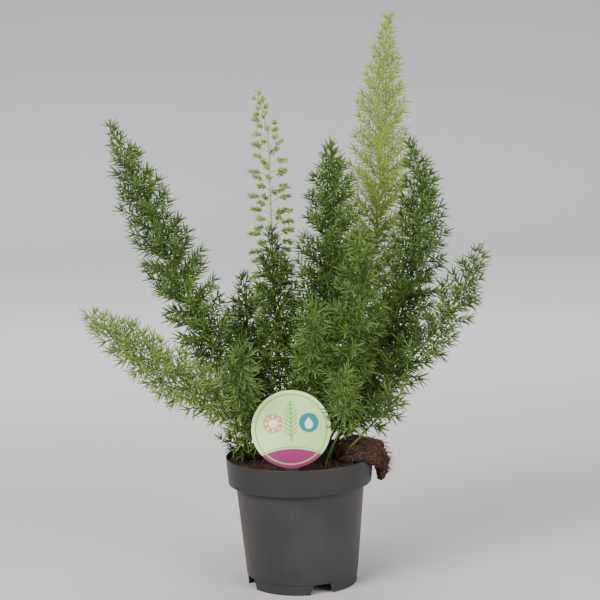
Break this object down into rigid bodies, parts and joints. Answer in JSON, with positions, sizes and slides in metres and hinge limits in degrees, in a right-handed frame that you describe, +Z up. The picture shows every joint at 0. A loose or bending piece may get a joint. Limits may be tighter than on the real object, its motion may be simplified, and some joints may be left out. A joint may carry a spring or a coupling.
{
  "type": "foxtail fern",
  "caption": "Potted foxtail fern: arching bottlebrush stems of fine green needles in a tapered grey nursery pot filled with peat, with a round stick-in plant label.",
  "frame": {"origin": "middle of the plant's footprint, on the surface that the pot's foot ring rests on", "axes": "+Z up along the pot's axis, -Y towards the viewer, the side that the label faces"},
  "size_m": [0.335, 0.2514, 0.4694],
  "materials": {
    "pot_plastic": "moulded plastic with fine scuffs",
    "peat": "moist fibrous peat",
    "label_print": "printed plastic sheet",
    "foliage": "soft waxy needles",
    "fresh_foliage": "soft waxy needles",
    "lime_foliage": "soft young needles",
    "shoot": "smooth young stem and buds"
  },
  "bodies": {
    "root": {"pot": "pot_plastic", "soil": "peat", "label": "label_print", "plume_tall_left": "foliage", "plume_low_left": "fresh_foliage", "plume_short_left": "foliage", "plume_centre": "foliage", "plume_centre_tall": "foliage", "plume_lime": "lime_foliage", "plume_right_tall": "foliage", "plume_right_side": "foliage", "plume_front_right": "foliage", "plume_front_left": "foliage", "plume_front_centre": "foliage", "plume_front_low": "foliage", "plume_right_low": "fresh_foliage", "plume_back_left": "foliage", "plume_back_centre": "foliage", "plume_back_right": "foliage", "sprig_left": "foliage", "young_shoot": "shoot"}
  },
  "joints": []
}
